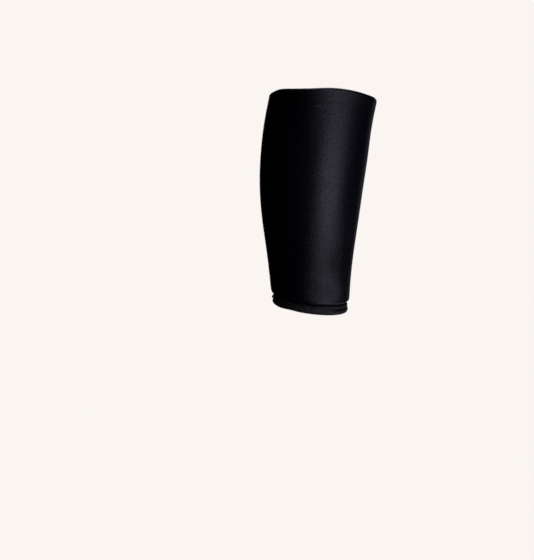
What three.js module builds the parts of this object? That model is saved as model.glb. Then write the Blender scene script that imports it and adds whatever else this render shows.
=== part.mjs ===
// Calf cooling sleeve: a gel-padded stretch tube that is pulled over the lower leg.
//
// Millimetres, +Z up the limb towards the knee, +X towards the shin, -Y the outer side.
// The origin is on the hollow's axis, near mid-length, where the calf sits.
//
// Two pieces, both hollow from end to end:
//   outer_sleeve  the padded tube, folded over at the top and rolled to a lip at the bottom
//   lower_cuff    the inner layer's turned cuff, tucked up inside the lip and showing below it
//
// A ring of the wall is an egg-shaped oval: narrower at the shin, fuller at the calf.
// Every point is found from an angle (0 at the shin, 90 on the inner side, 180 at the calf,
// 270 on the outer side), a height between two edges, and an inset from the outer face.

import * as THREE from 'three';

// ---------------------------------------------------------------- driving sizes
const WALL = 5.5;            // padded wall, fabric and gel together
const HEM_WALL = 3.7;        // folded top hem, where the gel has ended
const HEM_DEPTH = 18.0;      // stitched hem, down from the top edge
const HEM_BLEND = 9.0;       // length over which the hem's wall swells to the padded wall
const LIP_WALL = 2.6;        // rolled lip around the cuff's tuck
const TUCK_ROOM = 13.6;      // height of the room inside the lip for the tuck
const TUCK_BLEND = 2.4;      // slope above that room, back to the padded wall
const TUCK = 12.6;           // height of the cuff's part that is tucked up inside
const TUCK_GAP = 0.45;       // gap between the lip and the tuck
const CUFF_WALL_INSET = 5.8; // inner face of the cuff, from the sleeve's outer face
const EGG = 0.07;            // how much narrower than the calf side the shin side is
const COLUMNS = 60;          // points around a ring

// ---------------------------------------------------------------- tables
// Outer outline of the tube: half extents from the axis, by fraction of the height.
const SECTIONS = {
  columns: ['along', 'front', 'back', 'side'],
  rows: [
    [0.00, 50.2, 48.2, 44.3],
    [0.12, 49.8, 52.8, 46.7],
    [0.25, 50.8, 58.5, 50.3],
    [0.38, 52.8, 64.6, 54.7],
    [0.50, 54.6, 68.6, 58.0],
    [0.62, 56.3, 70.4, 60.2],
    [0.74, 58.1, 70.0, 60.8],
    [0.86, 59.5, 67.9, 60.5],
    [1.00, 63.3, 62.9, 59.9],
  ],
};

// Edges that run around the limb: mean height, rise towards the shin, rise towards the inner
// side, and a slow wave with two crests.
const EDGES = {
  columns: ['edge', 'height', 'shin', 'inner', 'wave_cos', 'wave_sin'],
  rows: [
    ['top', 116.9, -1.6, -2.87, 0.32, -1.27],
    ['lip', -124.55, -2.32, 0.8, 0.94, 0.15],
    ['cuff', -137.5, -2.23, 0.06, -0.12, 0.77],
  ],
};

// Rounded fold of the top edge, from the outer face over to the inner one.
const RIM = {
  columns: ['drop', 'inset'],
  rows: [
    [2.6, 0.0],
    [1.3, 0.3],
    [0.45, 0.85],
    [0.0, 1.75],
    [0.45, 2.7],
    [1.4, 3.3],
    [3.2, 3.6],
  ],
};

// Rolled lip at the bottom, from the inner face round to the outer one.
const LIP = {
  columns: ['rise', 'inset'],
  rows: [
    [2.8, LIP_WALL],
    [1.0, 2.45],
    [0.25, 1.95],
    [0.0, 1.3],
    [0.45, 0.6],
    [1.6, 0.15],
    [3.4, 0.0],
  ],
};

// Soft rolls of the cuff's visible part: level of the crease between the two rolls (0 at the
// lip, 1 at the cuff's edge), its depth, and each roll's inset.
const FOLDS = {
  columns: ['angle', 'crease_at', 'crease', 'upper', 'lower'],
  rows: [
    [0, 0.42, 0.2, 2.3, 1.3],
    [45, 0.42, 0.4, 1.9, 1.2],
    [90, 0.40, 0.6, 1.5, 1.1],
    [135, 0.46, 0.9, 1.0, 1.0],
    [180, 0.51, 1.2, 0.6, 0.9],
    [225, 0.46, 0.8, 1.0, 1.0],
    [270, 0.36, 0.5, 1.6, 1.1],
    [315, 0.38, 0.4, 2.0, 1.2],
  ],
};

// ---------------------------------------------------------------- curves through tables
const column = (table, name) => table.rows.map((row) => row[table.columns.indexOf(name)]);

// Natural cubic spline through (xs, ys).
function spline(xs, ys) {
  const n = xs.length;
  const h = xs.slice(1).map((x, i) => x - xs[i]);
  const bend = new Array(n).fill(0);
  const upper = new Array(n).fill(0);
  for (let i = 1; i < n - 1; i += 1) {
    const pull = 6 * ((ys[i + 1] - ys[i]) / h[i] - (ys[i] - ys[i - 1]) / h[i - 1]);
    const pivot = 2 * (h[i - 1] + h[i]) - h[i - 1] * upper[i - 1];
    upper[i] = h[i] / pivot;
    bend[i] = (pull - h[i - 1] * bend[i - 1]) / pivot;
  }
  for (let i = n - 2; i > 0; i -= 1) bend[i] -= upper[i] * bend[i + 1];
  return (x) => {
    let k = 0;
    while (k < n - 2 && x > xs[k + 1]) k += 1;
    const a = (xs[k + 1] - x) / h[k];
    const b = 1 - a;
    return a * ys[k] + b * ys[k + 1]
      + ((a ** 3 - a) * bend[k] + (b ** 3 - b) * bend[k + 1]) * h[k] ** 2 / 6;
  };
}

// The same, for a table by angle that closes on itself.
function around(table, name) {
  const angles = column(table, 'angle');
  const values = column(table, name);
  const turns = [-360, 0, 360];
  const f = spline(
    turns.flatMap((turn) => angles.map((angle) => angle + turn)),
    turns.flatMap(() => values),
  );
  return (radians) => f(THREE.MathUtils.radToDeg(radians));
}

const outline = Object.fromEntries(['front', 'back', 'side'].map(
  (name) => [name, spline(column(SECTIONS, 'along'), column(SECTIONS, name))],
));
const fold = Object.fromEntries(FOLDS.columns.slice(1).map((name) => [name, around(FOLDS, name)]));
const edge = Object.fromEntries(EDGES.rows.map(([name, height, shin, inner, waveCos, waveSin]) => [
  name,
  (t) => height + shin * Math.cos(t) + inner * Math.sin(t)
    + waveCos * Math.cos(2 * t) + waveSin * Math.sin(2 * t),
]));

// ---------------------------------------------------------------- points of the wall
// Point at an angle, on the outline at a fraction of the height, set in from the outer face.
function wallPoint(t, along, inset, z) {
  const front = outline.front(along);
  const back = outline.back(along);
  const depth = (front + back) / 2 - inset;
  const width = outline.side(along) - inset;
  return new THREE.Vector3(
    (front - back) / 2 + depth * Math.cos(t),
    width * Math.sin(t) * (1 - EGG * Math.cos(t)),
    z,
  );
}

// Fraction of the height at an absolute height, for the angle's own top and lip.
const alongAt = (t, z) => THREE.MathUtils.clamp((z - edge.lip(t)) / (edge.top(t) - edge.lip(t)), 0, 1);

function pointAt(t, z, inset) {
  return wallPoint(t, alongAt(t, z), inset, z);
}

// A closed skin over rings that follow each other around the wall's own section.
function loft(rings) {
  const position = new Float32Array(rings.length * COLUMNS * 3);
  const index = [];
  rings.forEach((ring, i) => {
    for (let j = 0; j < COLUMNS; j += 1) {
      ring(2 * Math.PI * j / COLUMNS).toArray(position, 3 * (i * COLUMNS + j));
      const next = (i + 1) % rings.length;
      const side = (j + 1) % COLUMNS;
      const a = i * COLUMNS + j;
      const b = i * COLUMNS + side;
      const c = next * COLUMNS + side;
      const d = next * COLUMNS + j;
      index.push(a, b, c, a, c, d);
    }
  });
  const geometry = new THREE.BufferGeometry();
  geometry.setAttribute('position', new THREE.BufferAttribute(position, 3));
  geometry.setIndex(index);
  geometry.computeVertexNormals();
  return geometry;
}

// ---------------------------------------------------------------- outer sleeve
function sleeveRings() {
  const rings = [];
  const fromLip = (rise, inset) => rings.push((t) => pointAt(t, edge.lip(t) + rise, inset));
  const fromTop = (drop, inset) => rings.push((t) => pointAt(t, edge.top(t) - drop, inset));
  const between = (share, rise, drop, inset) => rings.push((t) => {
    const low = edge.lip(t) + rise;
    const high = edge.top(t) - drop;
    return pointAt(t, low + (high - low) * share, inset);
  });

  LIP.rows.forEach(([rise, inset]) => fromLip(rise, inset));
  const lipRise = LIP.rows.at(-1)[0];
  const rimDrop = RIM.rows[0][0];
  const outerBands = 15;
  for (let k = 1; k < outerBands; k += 1) between(k / outerBands, lipRise, rimDrop, 0);

  RIM.rows.forEach(([drop, inset]) => fromTop(drop, inset));
  fromTop(HEM_DEPTH, HEM_WALL);
  fromTop(HEM_DEPTH + HEM_BLEND / 2, (HEM_WALL + WALL) / 2);
  const innerTop = HEM_DEPTH + HEM_BLEND;
  const innerFoot = TUCK_ROOM + TUCK_BLEND;
  const innerBands = 12;
  for (let k = innerBands; k >= 0; k -= 1) between(k / innerBands, innerFoot, innerTop, WALL);
  fromLip(TUCK_ROOM, LIP_WALL);
  return rings;
}

// ---------------------------------------------------------------- lower cuff
// Inset of the cuff's outer face at a level between the lip (0) and the cuff's edge (1).
function cuffFace(t) {
  const at = fold.crease_at(t);
  const high = fold.upper(t);
  const low = fold.lower(t);
  return spline(
    [0, at * 0.52, at, (1 + at) / 2, 0.92, 1],
    [LIP_WALL + TUCK_GAP, high, Math.max(high, low) + fold.crease(t), low, low + 0.7, 3.1],
  );
}

function cuffRings() {
  const rings = [];
  const visible = (level, inset) => rings.push((t) => {
    const z = edge.lip(t) + (edge.cuff(t) - edge.lip(t)) * level;
    return wallPoint(t, 0, typeof inset === 'function' ? inset(t) : inset, z);
  });
  const tucked = (rise, inset) => rings.push((t) => pointAt(t, edge.lip(t) + rise, inset));
  const tuckFace = LIP_WALL + TUCK_GAP;

  // Outer face, up from the edge: two soft rolls, then the part inside the lip.
  const levels = [1, 0.97, 0.92, 0.84, 0.75, 0.66, 0.57, 0.49, 0.41, 0.33, 0.25, 0.17, 0.08];
  levels.forEach((level) => visible(level, (t) => cuffFace(t)(level)));
  tucked(0, tuckFace);
  tucked(TUCK / 2, tuckFace);
  tucked(TUCK - 0.7, tuckFace);
  tucked(TUCK, tuckFace + 0.8);
  // Inner face, down to the edge again.
  tucked(TUCK, CUFF_WALL_INSET - 0.9);
  tucked(TUCK - 0.8, CUFF_WALL_INSET - 0.2);
  tucked(TUCK / 2, CUFF_WALL_INSET);
  visible(0.2, CUFF_WALL_INSET);
  visible(0.7, CUFF_WALL_INSET);
  visible(0.92, CUFF_WALL_INSET - 0.5);
  visible(0.99, CUFF_WALL_INSET - 1.5);
  return rings;
}

// ---------------------------------------------------------------- assembly
const satin = new THREE.MeshStandardMaterial({ color: 0x0c0c0e, roughness: 0.5, metalness: 0 });
const knit = new THREE.MeshStandardMaterial({ color: 0x131215, roughness: 0.7, metalness: 0 });

function piece(name, rings, material) {
  const mesh = new THREE.Mesh(loft(rings), material);
  mesh.name = name;
  return mesh;
}

const sleeve = new THREE.Group();
sleeve.name = 'cooling_sleeve';
sleeve.add(piece('outer_sleeve', sleeveRings(), satin));
sleeve.add(piece('lower_cuff', cuffRings(), knit));

export default sleeve;
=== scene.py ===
"""Looks of a calf cooling sleeve: a gel-padded stretch tube with a turned cuff below it.

Metres in Blender; the tables below are in millimetres, in the part's own frame:
+Z up the limb, +X towards the shin, -Y the outer side, origin on the hollow's axis.
"""
import math

import bpy
import numpy as np
from mathutils import Matrix


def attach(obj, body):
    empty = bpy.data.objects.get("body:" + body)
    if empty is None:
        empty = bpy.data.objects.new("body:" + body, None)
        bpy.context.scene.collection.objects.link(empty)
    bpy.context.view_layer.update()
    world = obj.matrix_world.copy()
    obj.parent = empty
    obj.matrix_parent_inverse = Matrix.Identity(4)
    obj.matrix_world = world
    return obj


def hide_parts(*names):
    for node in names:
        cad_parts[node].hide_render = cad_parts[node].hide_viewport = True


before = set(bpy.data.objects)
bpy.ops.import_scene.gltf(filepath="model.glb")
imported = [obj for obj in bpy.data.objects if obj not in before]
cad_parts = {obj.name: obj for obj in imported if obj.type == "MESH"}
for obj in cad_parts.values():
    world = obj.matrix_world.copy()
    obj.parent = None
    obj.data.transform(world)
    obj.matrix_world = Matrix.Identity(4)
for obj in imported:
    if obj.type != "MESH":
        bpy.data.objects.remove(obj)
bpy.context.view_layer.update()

MM = 0.001
TAU = 2 * math.pi

# ------------------------------------------------------------------ sizes, as in the part's source
WALL = 5.5
HEM_WALL = 3.7
HEM_DEPTH = 18.0
HEM_BLEND = 9.0
LIP_WALL = 2.6
TUCK_ROOM = 13.6
TUCK_BLEND = 2.4
TUCK = 12.6
TUCK_GAP = 0.45
CUFF_WALL_INSET = 5.8
EGG = 0.07

# along the height, half extents towards the shin, the calf and the sides
SECTIONS = np.array([
    [0.00, 50.2, 48.2, 44.3],
    [0.12, 49.8, 52.8, 46.7],
    [0.25, 50.8, 58.5, 50.3],
    [0.38, 52.8, 64.6, 54.7],
    [0.50, 54.6, 68.6, 58.0],
    [0.62, 56.3, 70.4, 60.2],
    [0.74, 58.1, 70.0, 60.8],
    [0.86, 59.5, 67.9, 60.5],
    [1.00, 63.3, 62.9, 59.9],
])

# mean height, rise to the shin, rise to the inner side, and a wave with two crests
EDGES = {
    "top": (116.9, -1.6, -2.87, 0.32, -1.27),
    "lip": (-124.55, -2.32, 0.8, 0.94, 0.15),
    "cuff": (-137.5, -2.23, 0.06, -0.12, 0.77),
}

# drop below the top edge and inset, over the fold
RIM = np.array([[2.6, 0.0], [1.3, 0.3], [0.45, 0.85], [0.0, 1.75],
                [0.45, 2.7], [1.4, 3.3], [3.2, 3.6]])
# rise above the lip's edge and inset, from the inner face round to the outer one
LIP = np.array([[2.8, LIP_WALL], [1.0, 2.45], [0.25, 1.95], [0.0, 1.3],
                [0.45, 0.6], [1.6, 0.15], [3.4, 0.0]])

# ------------------------------------------------------------------ what the fabric adds
PROUD = 0.6              # the stretched fabric's face outside the plain solid
HEM_EGG = 0.05           # how much fuller the top edge's outer side is towards the calf
INNER_EGG = -0.035       # and its inner side
# angle, how far the soft top edge stands above the plain one
RIM_RISE = np.array([
    [0, 0.7], [60, 0.5], [120, 0.4], [180, -0.1], [203, -0.4], [218, 0.75], [231, 0.25],
    [244, -0.25], [259, -0.1], [272, 0.85], [285, 1.3], [299, 0.95], [313, 0.3], [325, 0.1],
    [340, 0.6],
])
# the turned cuff by angle: level and inset of the gap under the lip, of the upper roll, of the
# crease and of the lower roll; a level counts from the lip down to the bottom edge
FOLDS = np.array([
    [0, 0.15, 3.9, 0.38, 2.0, 0.48, 1.9, 0.71, 0.85],
    [45, 0.14, 3.8, 0.36, 1.8, 0.47, 2.2, 0.72, 1.0],
    [90, 0.12, 3.8, 0.34, 1.5, 0.46, 2.2, 0.72, 1.1],
    [135, 0.16, 3.7, 0.42, 1.2, 0.58, 2.4, 0.80, 1.2],
    [180, 0.22, 3.7, 0.50, 1.4, 0.73, 3.4, 0.90, 2.3],
    [205, 0.21, 3.7, 0.48, 1.4, 0.70, 3.0, 0.88, 1.9],
    [235, 0.12, 3.9, 0.34, 1.4, 0.50, 2.2, 0.76, 1.2],
    [270, 0.07, 4.2, 0.22, 1.5, 0.35, 2.1, 0.66, 1.0],
    [300, 0.05, 4.0, 0.18, 1.5, 0.36, 2.0, 0.67, 0.95],
    [314, 0.06, 4.1, 0.24, 1.6, 0.41, 2.0, 0.68, 0.90],
    [335, 0.13, 4.1, 0.36, 1.9, 0.46, 1.9, 0.70, 0.85],
])
CUFF_HEM = 3.1           # inset of the cuff's bottom edge
# rows of stitching in the hem: drop below the top edge, depth of the groove, how much shade is painted into it
STITCH_ROWS = np.array([
    [4.8, 0.10, 0.50],
    [7.1, 0.12, 0.60],
    [9.4, 0.12, 0.60],
    [11.7, 0.13, 0.70],
    [14.0, 0.15, 0.85],
    [16.3, 0.17, 0.95],
    [18.6, 0.12, 0.45],
])
GROOVE = 0.33            # half width of a groove
# angle, how firmly the stitching is pulled in there
STITCH_PULL = np.array([
    [0, 0.6], [60, 0.8], [120, 0.7], [180, 0.8], [235, 1.0], [255, 1.5], [267, 1.8], [277, 1.6],
    [286, 1.0], [294, 0.8], [304, 0.75], [325, 0.6],
])
# angle, how much softer the lower lip is rounded there
LIP_SOFT = np.array([
    [0, 0.1], [60, 0.4], [130, 0.5], [200, 0.4], [240, 0.5], [262, 0.7], [280, 0.85], [292, 0.65],
    [303, 0.05], [330, 0.0],
])
STITCHES = 138           # in each row
# angle, how much more the doubled fabric of the hem shines there
HEM_SHINE = np.array([
    [0, 0.0], [60, 0.6], [120, 0.8], [180, 0.8], [240, 1.0], [300, 1.0], [316, 0.6], [332, 0.0],
])
# soft dents (and swells, below zero) of the gel: angle, height, reach around in degrees,
# reach up, depth
DENTS = np.array([
    [297, -77, 5.8, 22, -0.30],
    [327, -56, 10.7, 40, 0.90],
    [311, -99, 20, 17, -0.60],
    [279, -122, 13.7, 40, 0.42],
    [301, 3, 13, 40, -0.80],
    [300, -122, 28, 15, 0.80],
    [257, -101, 12, 42, -0.60],
    [277, 2, 12, 45, -0.30],
    [330, 20, 12, 40, 0.15],
    [282, 68, 11, 34, -0.24],
    [281, 40, 17, 60, -0.40],
    [205, 60, 22, 30, 0.15],
    [150, -40, 24, 34, 0.35],
    [95, 30, 20, 45, -0.35],
    [40, -30, 22, 36, 0.35],
    [75, -85, 18, 24, 0.40],
    [118, 85, 18, 22, 0.25],
])
# darker, duller patches of the satin face: angle, height, its two reaches, how strong; the first is painted shade
# where the sheen narrows, low between the outer side and the shin, the second only darkens and dulls the face on
# the inner side towards the calf
SHADE_AND_DULL_PATCHES = np.array([
    [302, -74, 14, 18, 0.60],
    [112, 12, 9, 16, 0.35],
])
WALES = 512              # knit columns around
COURSES = 1024           # knit rows along the tube's whole section, down the inside too


# ------------------------------------------------------------------ curves
def spline(xs, ys):
    """Natural cubic through the points, for arrays."""
    xs, ys = np.asarray(xs, float), np.asarray(ys, float)
    n, h = len(xs), np.diff(xs)
    a, r = np.eye(n), np.zeros(n)
    for i in range(1, n - 1):
        a[i, i - 1:i + 2] = h[i - 1], 2 * (h[i - 1] + h[i]), h[i]
        r[i] = 6 * ((ys[i + 1] - ys[i]) / h[i] - (ys[i] - ys[i - 1]) / h[i - 1])
    bend = np.linalg.solve(a, r)

    def f(x):
        x = np.asarray(x, float)
        k = np.clip(np.searchsorted(xs, x) - 1, 0, n - 2)
        p, q = (xs[k + 1] - x) / h[k], (x - xs[k]) / h[k]
        return (p * ys[k] + q * ys[k + 1]
                + ((p ** 3 - p) * bend[k] + (q ** 3 - q) * bend[k + 1]) * h[k] ** 2 / 6)
    return f


def around(table, k):
    """The same through a table by angle that closes on itself; takes radians."""
    ang = np.concatenate([table[:, 0] + turn for turn in (-360, 0, 360)])
    f = spline(ang, np.tile(table[:, k], 3))
    return lambda t: f(np.degrees(t) % 360)


front, back, side = (spline(SECTIONS[:, 0], SECTIONS[:, k]) for k in (1, 2, 3))
rim_rise = around(RIM_RISE, 1)
pull = around(STITCH_PULL, 1)
lip_soft = around(LIP_SOFT, 1)
hem_shine = around(HEM_SHINE, 1)


def edge(name, t):
    c = EDGES[name]
    return (c[0] + c[1] * np.cos(t) + c[2] * np.sin(t)
            + c[3] * np.cos(2 * t) + c[4] * np.sin(2 * t))


def smooth(x, a, b):
    s = np.clip((x - a) / (b - a), 0, 1)
    return s * s * (3 - 2 * s)


def hump(t, angle, wide):
    """1 at an angle in degrees, falling off around it."""
    off = (np.degrees(t) - angle + 180) % 360 - 180
    return np.exp(-(off / wide) ** 2)


def along_at(t, z):
    return np.clip((z - edge("lip", t)) / (edge("top", t) - edge("lip", t)), 0, 1)


def wall(t, z, inset, along=None):
    """Points at an angle, a height and an inset from the outer face, in millimetres."""
    u = along_at(t, z) if along is None else along
    f, b = front(u), back(u)
    depth, width = (f + b) / 2 - inset, side(u) - inset
    outer = smooth(-np.sin(t), -0.5, 0.3)
    egg = EGG + (INNER_EGG + (HEM_EGG - INNER_EGG) * outer) * smooth(u, 0.88, 1.0)
    return np.stack([(f - b) / 2 + depth * np.cos(t),
                     width * np.sin(t) * (1 - egg * np.cos(t)), z + 0 * t], -1)


def fine(table, n):
    """n points spread evenly along a short profile."""
    steps = np.concatenate([[0], np.cumsum(np.hypot(*np.diff(table, axis=0).T))])
    s = np.linspace(0, steps[-1], n)
    return np.stack([spline(steps, table[:, 0])(s), spline(steps, table[:, 1])(s)], 1)


def inner_inset(drop):
    """Inset of the inner face below the top edge: thin behind the hem, then the padded wall."""
    return (RIM[-1, 1] + (HEM_WALL - RIM[-1, 1]) * smooth(drop, 3, 10)
            + (WALL - HEM_WALL) * smooth(drop, HEM_DEPTH, HEM_DEPTH + HEM_BLEND))


# ------------------------------------------------------------------ relief
def row_wander(t, k):
    return 0.16 * np.sin(3 * t + 1.7 * k) + 0.10 * np.sin(7 * t + 2.9 * k)


def hem_relief(t, drop):
    """Grooves that the hem's stitching pulls in: depth, and the shade painted into them."""
    deep = np.zeros(np.broadcast(t, drop).shape)
    groove_shade = deep.copy()
    for k, (row, depth, tone) in enumerate(STITCH_ROWS):
        uneven = pull(t) * (0.84 + 0.16 * np.sin(5 * t + 2.1 * k) * np.sin(11 * t + k))
        line = uneven * np.exp(-((drop - row - row_wander(t, k)) / GROOVE) ** 2)
        deep, groove_shade = deep + depth * line, groove_shade + tone * line
    return deep, np.clip(groove_shade, 0, 1)


def gel_relief(t, z):
    """Soft unevenness of the gel under the stretched fabric."""
    h = (0.08 * np.sin(3 * t + 0.6 + z / 46) + 0.06 * np.sin(5 * t - 1.1 - z / 33)
         + 0.04 * np.sin(9 * t + 0.4 + z / 21))
    for angle, height, wide, tall, depth in DENTS:
        h = h - depth * hump(t, angle, wide) * np.exp(-((z - height) / tall) ** 2)
    return h


# painted shade on the sheen from the first patch; the second only darkens and dulls the face
def shade_and_dull_patch(t, z):
    return sum(dull * hump(t, angle, wide) * np.exp(-((z - height) / tall) ** 2)
               for angle, height, wide, tall, dull in SHADE_AND_DULL_PATCHES)


# ------------------------------------------------------------------ meshes
def loft(name, rings, materials, slots, marks, hem):
    """A skin that closes around the limb and around the wall's own section.
    rings: rows by columns by 3, in millimetres; the others: rows by columns."""
    p = np.asarray(rings, float)
    m, n, _ = p.shape
    mesh = bpy.data.meshes.new(name)
    mesh.vertices.add(m * n)
    mesh.vertices.foreach_set("co", (p * MM).astype(np.float32).ravel())
    i, j = np.meshgrid(np.arange(m), np.arange(n), indexing="ij")
    i2, j2 = (i + 1) % m, (j + 1) % n
    quads = np.stack([i * n + j, i * n + j2, i2 * n + j2, i2 * n + j], -1).reshape(-1, 4)
    mesh.loops.add(quads.size)
    mesh.loops.foreach_set("vertex_index", quads.ravel().astype(np.int32))
    mesh.polygons.add(len(quads))
    mesh.polygons.foreach_set("loop_start", np.arange(0, quads.size, 4, dtype=np.int32))
    mesh.polygons.foreach_set("loop_total", np.full(len(quads), 4, np.int32))
    mesh.polygons.foreach_set("use_smooth", np.ones(len(quads), bool))
    for mat in materials:
        mesh.materials.append(mat)
    mesh.polygons.foreach_set("material_index", np.asarray(slots, np.int32).ravel())
    # two maps that lay the whole skin in the unit square, one for the knit
    run = np.linalg.norm(np.roll(p, -1, 0) - p, axis=2).mean(1)
    place = np.concatenate([[0], np.cumsum(run)])
    cols = np.stack([j, j + 1, j + 1, j], -1).reshape(-1) / n
    rows = np.stack([place[i], place[i], place[i + 1], place[i + 1]], -1).reshape(-1)
    for label in ("Knit", "OFBake"):
        layer = mesh.uv_layers.new(name=label)
        layer.data.foreach_set(
            "uv", np.stack([cols, rows / place[-1]], 1).astype(np.float32).ravel())
    mesh.uv_layers.active = mesh.uv_layers["Knit"]
    mesh.uv_layers["Knit"].active_render = True
    # the first attribute is painted shade and dulling, which the materials read
    for label, values in (("groove", marks), ("hem", hem)):
        layer = mesh.attributes.new(label, "FLOAT", "POINT")
        layer.data.foreach_set("value", np.asarray(values, np.float32).ravel())
    mesh.update(calc_edges=True)
    mesh.validate()
    ob = bpy.data.objects.new(name, mesh)
    bpy.context.scene.collection.objects.link(ob)
    return ob


def sleeve_mesh(materials):
    n = 360
    t = TAU * np.arange(n) / n
    lip = edge("lip", t)
    top = edge("top", t) + rim_rise(t)
    rings, slots, marks, doubled = [], [], [], []

    def add(z, inset, slot, mark=0.0):
        rings.append(wall(t, z, inset))
        slots.append(np.full(n, slot))
        marks.append(mark + 0 * t)
        doubled.append((1 - smooth(top - z, 15.0, 24.0)) * np.clip(hem_shine(t), 0, 1))

    def skin(z):
        return gel_relief(t, z) * smooth(z - lip, -1.0, 5.0)

    def soft(z):
        return 0.8 * lip_soft(t) * (1 - smooth(z - lip, 0.0, 6.0))

    uneven = 0.10 * np.sin(4 * t + 0.8) + 0.07 * np.sin(9 * t + 2.2)
    for rise, inset in fine(LIP, 22):
        out = 1 - inset / LIP_WALL
        z = lip + rise
        # the lip's inner rounding, facing the gap, takes the dark gap knit: painted shade under the lip
        add(z, inset - (PROUD + skin(z) - soft(z)) * out - uneven * smooth(inset, 0.0, 1.0),
            2 if inset > 1.2 else 0)
    start, stop, hem = LIP[-1, 0], RIM[0, 0], 20.0
    for s in np.linspace(0, 1, 66)[1:]:
        z = lip + start + (top - hem - lip - start) * s
        add(z, soft(z) - PROUD - skin(z), 0, shade_and_dull_patch(t, z))
    for drop in np.linspace(hem, stop, 58)[1:]:
        z = top - drop
        # the grooves' painted shade goes to the satin as marks, and below to the lining
        deep, groove_shade = hem_relief(t, drop)
        add(z, -PROUD - gel_relief(t, z) * smooth(drop, 1.0, 7.0) + deep, 0, groove_shade)
    for drop, inset in fine(RIM, 18)[1:]:
        add(top - drop, inset - PROUD * (1 - inset / RIM[-1, 1]), 0)
    # inner face: the back of the hem, the padded wall, then room for the tuck
    for drop in np.concatenate([np.linspace(RIM[-1, 0], 19.5, 42)[1:],
                                np.linspace(19.5, HEM_DEPTH + HEM_BLEND, 7)[1:]]):
        deep, groove_shade = hem_relief(t, drop)
        add(top - drop, inner_inset(drop) - 0.8 * deep, 1, groove_shade)
    foot = lip + TUCK_ROOM + TUCK_BLEND
    for s in np.linspace(1, 0, 38)[1:]:
        z = foot + (top - HEM_DEPTH - HEM_BLEND - foot) * s
        add(z, WALL - 0.4 * gel_relief(t, z) * smooth(s, 0, 0.1) * (1 - smooth(s, 0.9, 1)), 1)
    for s in np.linspace(0, 1, 5)[1:]:
        add(foot - TUCK_BLEND * s, WALL + (LIP_WALL - WALL) * smooth(s, 0, 1), 1)
    for s in np.linspace(0, 1, 7)[1:-1]:
        add(lip + TUCK_ROOM + (LIP[0, 0] - TUCK_ROOM) * s, LIP_WALL + 0 * t, 1)
    return loft("padded_sleeve", rings, materials, slots, marks, doubled)


def cuff_mesh(materials):
    n = 360
    t = TAU * np.arange(n) / n
    deg = np.degrees(t)
    shin = (deg - 330 + 180) % 360 - 180     # degrees from the middle of the cuff's slanting fold
    lip = edge("lip", t)
    foot = edge("cuff", t) - 0.6 + 1.4 * hump(t, 187, 20) - 0.25 * hump(t, 223, 10) + 0.5 * hump(t, 241, 13)
    face = LIP_WALL + TUCK_GAP
    knots = [around(FOLDS, k)(t) for k in (1, 3, 5, 7)]
    insets = [around(FOLDS, k)(t) for k in (2, 4, 6, 8)]
    rings, slots, marks = [], [], []

    def shown(level, inset, slot=0, mark=0.0):
        rings.append(wall(t, lip + (foot - lip) * level, inset, along=0 * t))
        slots.append(slot + np.zeros(n))
        marks.append(mark + 0 * t)

    def tucked(rise, inset, slot=1):
        rings.append(wall(t, lip + rise, inset + 0 * t))
        slots.append(slot + np.zeros(n))
        marks.append(0 * t)

    def roll(level):
        """Inset of the rolls: soft steps from knot to knot, then a rounded bottom edge."""
        inset = face + 0 * t
        before, was = 0 * t, face
        for knot, now in zip(knots, insets):
            inset = inset + (now - was) * smooth(level, before, knot)
            before, was = knot, now
        s = np.clip((level - before) / (1 - before), 0, 1)
        return inset + (CUFF_HEM - was) * (1 - np.sqrt(1 - s * s))

    def gathers(level):
        """Small gathers, the sharp line of the crease, and slanting folds; the same values are painted shade in
        the creases and folds.
        """
        w = math.sin(math.pi * min(max(level, 0), 1))
        g = w * (0.08 * np.sin(23 * t + 3 * level) + 0.06 * np.sin(37 * t + 1.3 - 4 * level)
                 + 0.09 * np.sin(11 * t + 0.7 + 5 * level))
        line = np.interp(shin, [-30, -18, -9, 0, 20, 60], [0.82, 0.63, 0.55, 0.59, 0.63, 0.70])
        fold = 1.7 * np.exp(-((level - line) / 0.06) ** 2) * smooth(shin, -26, -12) * (1 - smooth(shin, 8, 60))
        slant = 0.72 + 0.14 * smooth(deg, 200, 240)
        tuck = 0.5 * np.exp(-((level - slant) / 0.06) ** 2) * smooth(deg, 210, 222) * (1 - smooth(deg, 232, 248))
        pinch = 0.35 * np.exp(-((level - knots[2]) / 0.035) ** 2)
        return pinch + fold + tuck - g

    for level in np.concatenate([1 - 0.1 * np.linspace(0, 1, 14) ** 2, np.linspace(0.9, 0.0, 70)[1:]]):
        g = gathers(level) * smooth(level, 0, knots[1])
        hidden = 1 - smooth(level, knots[0], knots[1])
        # painted shade at the cuff's right end, beside the slanting fold, darkening its colour and gloss
        fold_shade = 0.45 * hump(t, 328, 13) * smooth(level, 0.1, 0.3)
        # rows hidden in the gap under the lip take the dark gap knit, painted shade
        shown(level, roll(level) + g - PROUD * (1 - hidden), hidden > 0.6, np.clip(g + fold_shade, 0, 1))
    for rise in np.linspace(1.5, TUCK - 0.7, 8):
        tucked(rise, face)
    tucked(TUCK - 0.2, face + 0.25)
    tucked(TUCK, face + 0.8)
    tucked(TUCK, CUFF_WALL_INSET - 0.9, 0)
    tucked(TUCK - 0.25, CUFF_WALL_INSET - 0.4, 0)
    tucked(TUCK - 0.8, CUFF_WALL_INSET - 0.2, 0)
    for rise in np.linspace(TUCK / 2 + 2, 0, 7):
        tucked(rise, CUFF_WALL_INSET, 0)
    for level, inset in ((0.2, 0.0), (0.45, 0.0), (0.7, 0.0), (0.84, -0.2), (0.92, -0.5),
                         (0.965, -0.95), (0.99, -1.5)):
        shown(level, CUFF_WALL_INSET + inset + 0 * t)
    return loft("turned_cuff", rings, materials, slots, marks, np.zeros((len(rings), n)))


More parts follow.
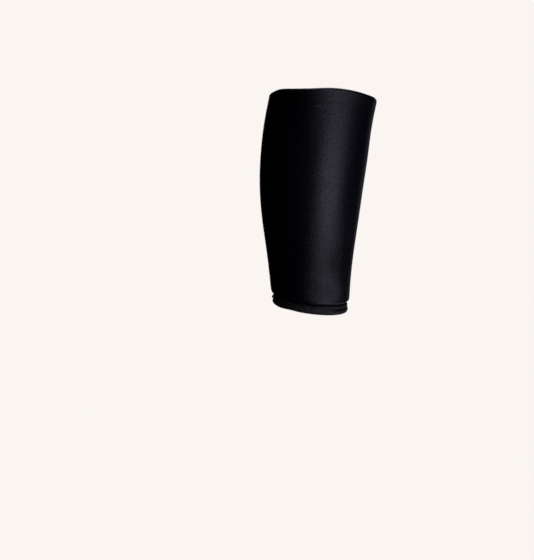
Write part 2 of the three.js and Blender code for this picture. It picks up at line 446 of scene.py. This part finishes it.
def stitch_mesh(material):
    """Short threads that lie in the hem's grooves, outside and inside, all in one mesh."""
    sides, parts, half, thick = 6, 5, 1.05, 0.15
    s = np.linspace(-1, 1, parts)
    size = thick * np.where(np.abs(s) > 0.99, 0.55, 1.0)
    b = TAU * np.arange(sides) / sides
    strands = []
    for k, (row, depth, _) in enumerate(STITCH_ROWS):
        mid = TAU * (np.arange(STITCHES) + 0.31 * k) / STITCHES
        for inside in (False, True):
            t = mid[:, None] + (0.5 * TAU / STITCHES if inside else 0) + s[None] * half / 62.0
            drop = row + row_wander(t, k) + 0.06 * s[None]
            z = edge("top", t) + rim_rise(t) - drop
            if inside:
                inset = inner_inset(drop) - 0.8 * depth * pull(t) + 0.05 - 0.16 * s[None] ** 4
            else:
                inset = -PROUD - gel_relief(t, z) * smooth(drop, 1.0, 7.0) + depth * pull(t) + 0.02 + 0.16 * s[None] ** 4
            centre = wall(t, z, inset)
            out = np.stack([np.cos(t), np.sin(t), 0 * t], -1)
            ring = (centre[:, :, None, :] + size[None, :, None, None]
                    * (np.cos(b)[None, None, :, None] * out[:, :, None, :]
                       + np.sin(b)[None, None, :, None] * np.array([0, 0, 1.0])))
            strands.append(ring)
    pts = np.concatenate(strands)                     # strand, part, side, xyz
    count = len(pts)
    base = np.arange(count)[:, None, None] * parts * sides
    r, a = np.meshgrid(np.arange(parts - 1), np.arange(sides), indexing="ij")
    a2 = (a + 1) % sides
    quads = np.stack([base + r * sides + a, base + (r + 1) * sides + a,
                      base + (r + 1) * sides + a2, base + r * sides + a2], -1).reshape(-1, 4)
    first = np.arange(count)[:, None] * parts * sides
    caps = np.concatenate([first + np.arange(sides),
                           (first + (parts - 1) * sides + np.arange(sides))[:, ::-1]])
    mesh = bpy.data.meshes.new("hem_stitching")
    mesh.from_pydata((pts.reshape(-1, 3) * MM).tolist(), [], quads.tolist() + caps.tolist())
    mesh.polygons.foreach_set("use_smooth", np.ones(len(mesh.polygons), bool))
    mesh.materials.append(material)
    mesh.update()
    ob = bpy.data.objects.new("hem_stitching", mesh)
    bpy.context.scene.collection.objects.link(ob)
    return ob


# ------------------------------------------------------------------ materials
class Nodes:
    """Short calls for a material's node tree."""

    def __init__(self, name):
        self.mat = bpy.data.materials.new(name)
        self.mat.use_nodes = True
        self.tree = self.mat.node_tree
        self.shader = self.tree.nodes["Principled BSDF"]

    def add(self, kind, **values):
        node = self.tree.nodes.new(kind)
        for k, v in values.items():
            setattr(node, k, v)
        return node

    def put(self, target, value):
        if isinstance(value, bpy.types.NodeSocket):
            self.tree.links.new(value, target)
        else:
            target.default_value = value

    def math(self, operation, a, b=None, c=None):
        node = self.add("ShaderNodeMath", operation=operation)
        for k, v in enumerate((a, b, c)):
            if v is not None:
                self.put(node.inputs[k], v)
        return node.outputs[0]

    def place(self, stretch=1.0):
        """Object coordinates, with grain drawn out along the limb."""
        coords = self.add("ShaderNodeTexCoord").outputs["Object"]
        node = self.add("ShaderNodeMapping")
        self.put(node.inputs["Vector"], coords)
        node.inputs["Scale"].default_value = (1.0, 1.0, 1.0 / stretch)
        return node.outputs[0]

    def noise(self, vector, scale, detail=2.0, rough=0.55):
        node = self.add("ShaderNodeTexNoise")
        self.put(node.inputs["Vector"], vector)
        node.inputs["Scale"].default_value = scale
        node.inputs["Detail"].default_value = detail
        node.inputs["Roughness"].default_value = rough
        return node.outputs["Fac"]

    def ramp(self, fac, stops):
        node = self.add("ShaderNodeValToRGB")
        self.put(node.inputs[0], fac)
        els = node.color_ramp.elements
        while len(els) < len(stops):
            els.new(0.5)
        for el, (pos, colour) in zip(els, stops):
            el.position, el.color = pos, (*colour, 1.0)
        return node.outputs[0]

    def span(self, value, low, high, start=0.0, stop=1.0):
        node = self.add("ShaderNodeMapRange")
        self.put(node.inputs["Value"], value)
        for key, v in (("From Min", start), ("From Max", stop), ("To Min", low), ("To Max", high)):
            node.inputs[key].default_value = v
        return node.outputs[0]

    def bump(self, height, distance, strength, normal=None):
        node = self.add("ShaderNodeBump")
        self.put(node.inputs["Height"], height)
        node.inputs["Distance"].default_value = distance
        node.inputs["Strength"].default_value = strength
        if normal is not None:
            self.put(node.inputs["Normal"], normal)
        return node.outputs[0]

    def mark(self, name):
        return self.add("ShaderNodeAttribute", attribute_name=name).outputs["Fac"]

    def knit(self, wales, courses):
        """A plain knit, columns of small chevrons: its height, 0 to 1, and how much brighter or
        darker than the mean each loop is."""
        uv = self.add("ShaderNodeUVMap", uv_map="Knit").outputs[0]
        split = self.add("ShaderNodeSeparateXYZ")
        self.put(split.inputs[0], uv)
        column = self.math("MULTIPLY_ADD", split.outputs[0], float(wales), 0.25)
        x = self.math("SUBTRACT", self.math("FRACT", column), 0.5)
        ax = self.math("ABSOLUTE", x)
        y = self.math("MULTIPLY_ADD", ax, 1.3, self.math("MULTIPLY", split.outputs[1], float(courses)))
        wave = self.math("COSINE", self.math("MULTIPLY", y, TAU))
        wale = self.math("COSINE", self.math("MULTIPLY", x, math.pi))
        loops = self.math("MULTIPLY_ADD", wave, 0.5, 0.5)
        cell = self.add("ShaderNodeCombineXYZ")
        self.put(cell.inputs[0], self.math("FLOOR", column))
        self.put(cell.inputs[1], self.math("FLOOR", self.math("ADD", y, 0.5)))
        chance = self.add("ShaderNodeTexWhiteNoise", noise_dimensions="2D")
        self.put(chance.inputs["Vector"], cell.outputs[0])
        height = self.math("MULTIPLY", wale, self.math("MULTIPLY_ADD", loops, 0.6, 0.4))
        glint = self.math("MULTIPLY", height, self.math("SUBTRACT", chance.outputs["Value"], 0.5))
        return height, glint


def satin():
    m = Nodes("satin_stretch")
    where = m.place(1.2)
    knit, glint = m.knit(WALES, COURSES)
    cloth = m.span(m.noise(where, 1000.0, 1.5, 0.6), 0.0, 1.0, 0.34, 0.66)
    grain = m.math("MULTIPLY_ADD", glint, 0.75, m.math("MULTIPLY_ADD", cloth, 0.7, 0.15))
    cloud = m.noise(where, 45.0, 2.0)
    groove, hem = m.mark("groove"), m.mark("hem")
    tone = m.math("MULTIPLY_ADD", knit, 0.5, m.math("MULTIPLY", grain, 0.5))
    # painted shade: the marks darken the satin's colour in the hem's grooves and in a patch low on the sheen
    tone = m.math("SUBTRACT", tone, m.math("MULTIPLY", groove, 0.5))
    m.put(m.shader.inputs["Base Color"],
          m.ramp(tone, [(0.1, (0.0012, 0.0008, 0.0026)), (0.9, (0.0072, 0.0050, 0.0150))]))
    rough = m.math("ADD", m.span(cloud, 0.28, 0.33), m.math("MULTIPLY", grain, 0.10))
    rough = m.math("MULTIPLY_ADD", hem, 0.025, rough)
    m.put(m.shader.inputs["Roughness"], m.math("MULTIPLY_ADD", groove, 0.06, rough))
    uneven = m.math("MULTIPLY", m.math("SUBTRACT", grain, 0.5), m.span(hem, 0.74, 0.38))
    # painted shade on the sheen: the marks also cut the gloss there
    shine = m.math("MULTIPLY", m.math("ADD", uneven, 0.5), m.span(groove, 1.0, 0.35))
    shine = m.math("MULTIPLY", shine, m.span(hem, 1.0, 1.36))
    m.put(m.shader.inputs["Specular IOR Level"], shine)
    m.shader.inputs["Specular Tint"].default_value = (0.96, 0.97, 1.0, 1.0)
    n = m.bump(cloth, 0.00010, 0.32)
    n = m.bump(knit, 0.00010, 0.32, n)
    m.put(m.shader.inputs["Normal"], n)
    return m.mat


def lining():
    m = Nodes("inner_knit")
    where = m.place(1.2)
    knit, glint = m.knit(WALES, COURSES / 2)
    grain = m.span(m.noise(where, 620.0, 2.0, 0.6), 0.0, 1.0, 0.33, 0.67)
    groove = m.mark("groove")
    tone = m.math("MULTIPLY_ADD", knit, 0.55, m.math("MULTIPLY_ADD", grain, 0.45, m.math("MULTIPLY", glint, 0.4)))
    # painted shade: the marks darken the inner face along the hem's grooves
    tone = m.math("SUBTRACT", tone, m.math("MULTIPLY", groove, 0.5))
    m.put(m.shader.inputs["Base Color"],
          m.ramp(tone, [(0.05, (0.010, 0.0096, 0.0112)), (0.9, (0.044, 0.0425, 0.047))]))
    m.put(m.shader.inputs["Roughness"], m.span(grain, 0.70, 0.86))
    m.shader.inputs["Specular IOR Level"].default_value = 0.35
    m.shader.inputs["Sheen Weight"].default_value = 0.06
    m.shader.inputs["Sheen Roughness"].default_value = 0.5
    n = m.bump(grain, 0.00012, 0.35)
    n = m.bump(knit, 0.00018, 0.45, n)
    m.put(m.shader.inputs["Normal"], n)
    return m.mat


def cuff_knit():
    m = Nodes("cuff_knit")
    where = m.place(1.1)
    knit, glint = m.knit(WALES, 80)
    cloth = m.span(m.noise(where, 760.0, 1.5, 0.6), 0.0, 1.0, 0.33, 0.67)
    grain = m.math("MULTIPLY_ADD", glint, 0.75, m.math("MULTIPLY_ADD", cloth, 0.75, 0.125))
    cloud = m.noise(where, 90.0, 2.0)
    groove = m.mark("groove")
    tone = m.math("MULTIPLY_ADD", knit, 0.4, m.math("MULTIPLY", grain, 0.6))
    # painted shade: the marks darken the cuff's colour in its creases and folds and at its right end
    tone = m.math("SUBTRACT", tone, m.math("MULTIPLY", groove, 0.45))
    m.put(m.shader.inputs["Base Color"],
          m.ramp(tone, [(0.1, (0.008, 0.0073, 0.009)), (0.9, (0.056, 0.0525, 0.062))]))
    m.put(m.shader.inputs["Roughness"], m.math("ADD", m.span(cloud, 0.52, 0.62), m.math("MULTIPLY", grain, 0.10)))
    # the same painted shade also cuts the cuff's gloss
    m.put(m.shader.inputs["Specular IOR Level"],
          m.math("MULTIPLY", m.span(grain, 0.3, 0.8), m.span(groove, 1.0, 0.3)))
    n = m.bump(cloth, 0.00014, 0.45)
    n = m.bump(knit, 0.00016, 0.40, n)
    m.put(m.shader.inputs["Normal"], n)
    return m.mat


# a matt knit for the faces in the gap under the lip and the cuff's part tucked behind it: partly the knit's own
# matt back, partly painted shade, its colour and gloss set dark for the shade there
def shaded_gap_knit():
    m = Nodes("shaded_gap_knit")
    grain = m.noise(m.place(1.0), 700.0, 2.0)
    m.put(m.shader.inputs["Base Color"],
          m.ramp(grain, [(0.2, (0.002, 0.002, 0.0025)), (0.8, (0.006, 0.0057, 0.007))]))
    m.shader.inputs["Roughness"].default_value = 0.9
    m.shader.inputs["Specular IOR Level"].default_value = 0.12
    m.put(m.shader.inputs["Normal"], m.bump(grain, 0.00014, 0.4))
    return m.mat


def thread():
    m = Nodes("thread")
    where = m.place(1.0)
    grain = m.noise(where, 1500.0, 2.0)
    m.put(m.shader.inputs["Base Color"],
          m.ramp(grain, [(0.2, (0.002, 0.002, 0.0025)), (0.8, (0.008, 0.0078, 0.0096))]))
    m.put(m.shader.inputs["Roughness"], m.span(grain, 0.52, 0.66))
    m.put(m.shader.inputs["Normal"], m.bump(grain, 0.00008, 0.4))
    return m.mat


# ------------------------------------------------------------------ pieces
satin_mat, lining_mat, cuff_mat = satin(), lining(), cuff_knit()
shaded_gap_mat, thread_mat = shaded_gap_knit(), thread()

sleeve = sleeve_mesh([satin_mat, lining_mat, shaded_gap_mat])
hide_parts("outer_sleeve")
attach(sleeve, "root")

cuff = cuff_mesh([cuff_mat, shaded_gap_mat])
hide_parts("lower_cuff")
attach(cuff, "root")

stitches = stitch_mesh(thread_mat)
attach(stitches, "root")

# ------------------------------------------------------------------ camera
FRAME_W, FRAME_H = 534, 560
FOCAL_PX = 560.0
DISTANCE = 0.70
ELEVATION, ROLL = math.radians(2.0), math.radians(3.6)
ORIGIN_PX = (316.0, 197.0)           # where the part's origin falls in the picture

place = DISTANCE * np.array([0, -math.cos(ELEVATION), math.sin(ELEVATION)])
back_axis = place / np.linalg.norm(place)
right_axis = np.cross([0, 0, 1], back_axis)
right_axis /= np.linalg.norm(right_axis)
axes = np.stack([right_axis, np.cross(back_axis, right_axis), back_axis], 1)
c, s = math.cos(ROLL), math.sin(ROLL)
axes = axes @ np.array([[c, -s, 0], [s, c, 0], [0, 0, 1]])
ray = np.array([(ORIGIN_PX[0] - FRAME_W / 2) / FOCAL_PX, -(ORIGIN_PX[1] - FRAME_H / 2) / FOCAL_PX, -1.0])
ray /= np.linalg.norm(ray)
v = np.cross(ray, [0, 0, -1.0])
k = np.array([[0, -v[2], v[1]], [v[2], 0, -v[0]], [-v[1], v[0], 0]])
axes = axes @ (np.eye(3) + k + k @ k / (1 - ray[2]))

cam_data = bpy.data.cameras.new("camera")
cam_data.sensor_width = 36.0
cam_data.lens = FOCAL_PX * 36.0 / max(FRAME_W, FRAME_H)
cam_data.clip_start, cam_data.clip_end = 0.02, 60.0
cam = bpy.data.objects.new("camera", cam_data)
bpy.context.scene.collection.objects.link(cam)
m4 = np.eye(4)
m4[:3, :3], m4[:3, 3] = axes, place
cam.matrix_world = Matrix(m4.tolist())
bpy.context.scene.camera = cam

# ------------------------------------------------------------------ stage
FLOOR_Z = -0.42
PALE = (0.956, 0.913, 0.880)


def stage_material(name, strength):
    mat = bpy.data.materials.new(name)
    mat.use_nodes = True
    tree = mat.node_tree
    tree.nodes.clear()
    out = tree.nodes.new("ShaderNodeOutputMaterial")
    glow = tree.nodes.new("ShaderNodeEmission")
    glow.inputs["Color"].default_value = (*PALE, 1.0)
    glow.inputs["Strength"].default_value = strength
    tree.links.new(glow.outputs[0], out.inputs["Surface"])
    return mat


def stage_plane(name, size, matrix, material):
    mesh = bpy.data.meshes.new(name)
    h = size / 2
    mesh.from_pydata([(-h, -h, 0), (h, -h, 0), (h, h, 0), (-h, h, 0)], [], [(0, 1, 2, 3)])
    mesh.materials.append(material)
    ob = bpy.data.objects.new(name, mesh)
    bpy.context.scene.collection.objects.link(ob)
    ob.matrix_world = matrix
    ob.visible_diffuse = ob.visible_glossy = ob.visible_shadow = False
    return ob


floor = stage_plane("floor", 40.0, Matrix.Translation((0, 0, FLOOR_Z)), stage_material("pale_floor", 1.0))

world = bpy.data.worlds.new("studio")
world.use_nodes = True
bpy.context.scene.world = world
wt = world.node_tree
wt.nodes.clear()
w_out = wt.nodes.new("ShaderNodeOutputWorld")
w_mix = wt.nodes.new("ShaderNodeMixShader")
w_path = wt.nodes.new("ShaderNodeLightPath")
w_dim = wt.nodes.new("ShaderNodeBackground")
w_dim.inputs["Color"].default_value = (0.9, 0.92, 1.0, 1.0)
w_dim.inputs["Strength"].default_value = 0.001
w_pale = wt.nodes.new("ShaderNodeBackground")
w_pale.inputs["Color"].default_value = (*PALE, 1.0)
w_pale.inputs["Strength"].default_value = 1.0
wt.links.new(w_path.outputs["Is Camera Ray"], w_mix.inputs[0])
wt.links.new(w_dim.outputs[0], w_mix.inputs[1])
wt.links.new(w_pale.outputs[0], w_mix.inputs[2])
wt.links.new(w_mix.outputs[0], w_out.inputs["Surface"])


def softbox(name, azimuth, height, distance, width, tall, radiance, tilt=0.0, aim=(0, 0, 0)):
    """An area light of the given radiance. Azimuth 0 is the camera's side, 90 the shin's."""
    a = math.radians(azimuth)
    at = np.array([math.sin(a) * distance, -math.cos(a) * distance, height])
    back = at - np.array(aim, float)
    back /= np.linalg.norm(back)
    up = np.array([0, 0, 1.0]) if abs(back[2]) < 0.95 else np.array([0, 1.0, 0])
    right = np.cross(up, back)
    right /= np.linalg.norm(right)
    rise = np.cross(back, right)
    c, s = math.cos(math.radians(tilt)), math.sin(math.radians(tilt))
    right, rise = c * right + s * rise, c * rise - s * right
    data = bpy.data.lights.new(name, "AREA")
    data.shape, data.size, data.size_y = "RECTANGLE", width, tall
    data.energy = radiance * math.pi * width * tall
    data.color = (0.82, 0.83, 1.0)
    ob = bpy.data.objects.new(name, data)
    bpy.context.scene.collection.objects.link(ob)
    m = np.eye(4)
    m[:3, :3], m[:3, 3] = np.stack([right, rise, back], 1), at
    ob.matrix_world = Matrix(m.tolist())
    ob.visible_camera = False
    return ob


softbox("key", 44, -0.165, 1.25, 0.743, 0.87, 1.55, tilt=-10)
softbox("key_high", 18.6, 0.58, 1.25, 0.34, 0.25, 3.4)
softbox("key_low", 83, -0.77, 1.25, 0.48, 0.25, 2.5)
softbox("side_low", 107, -0.95, 1.25, 0.50, 0.32, 1.5)
softbox("below", 150, -0.9, 0.55, 0.50, 0.50, 2.0)
softbox("rim", 153, 0.0, 1.3, 0.60, 1.5, 0.2)
softbox("rim_far", 200, 0.0, 1.3, 0.40, 1.5, 0.05)
softbox("back", 187, 0.15, 1.3, 0.50, 1.2, 2.4)
softbox("over", 150, 1.3, 0.35, 0.9, 0.9, 3.5)
# two small fills inside the hollow, one shining down it and one up
softbox("fill_down", 0, 0.106, 0.0, 0.05, 0.05, 6.0)
softbox("fill_up", 0, -0.112, 0.0, 0.04, 0.04, 5.0)

scene = bpy.context.scene
scene.view_settings.view_transform = "Standard"
scene.view_settings.look = "None"
scene.view_settings.exposure = 0.0
scene.view_settings.gamma = 1.0

# ------------------------------------------------------------------ finish
bpy.context.view_layer.update()
